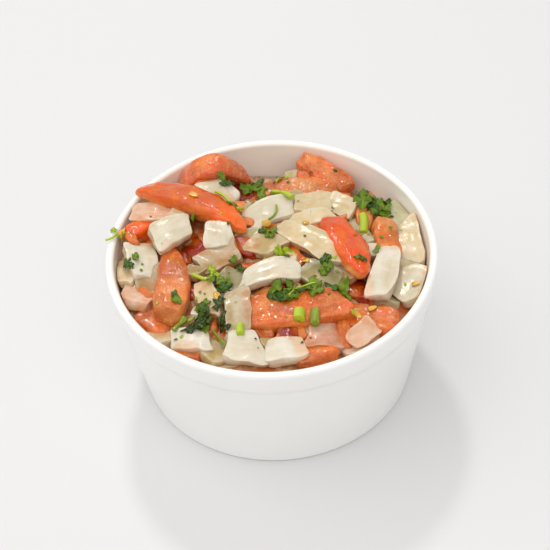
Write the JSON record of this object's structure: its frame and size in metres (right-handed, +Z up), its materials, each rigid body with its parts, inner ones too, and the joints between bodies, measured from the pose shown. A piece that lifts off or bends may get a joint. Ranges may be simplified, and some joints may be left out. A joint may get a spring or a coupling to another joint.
{
  "type": "bowl of pico de gallo",
  "caption": "Round white side bowl with a shallow lip, heaped a little over its rim with chopped tomato, white onion and cilantro.",
  "frame": {"origin": "middle of the bowl's foot, on the surface it stands on", "axes": "+Z up along the bowl's axis; the picture looks along +Y and down, with +X to its right"},
  "size_m": [0.1, 0.1, 0.0546],
  "materials": {
    "white_glaze": "gloss",
    "chopped_salsa": "gloss"
  },
  "bodies": {
    "root": {"bowl": "white_glaze", "pico_de_gallo": "chopped_salsa"}
  },
  "joints": []
}
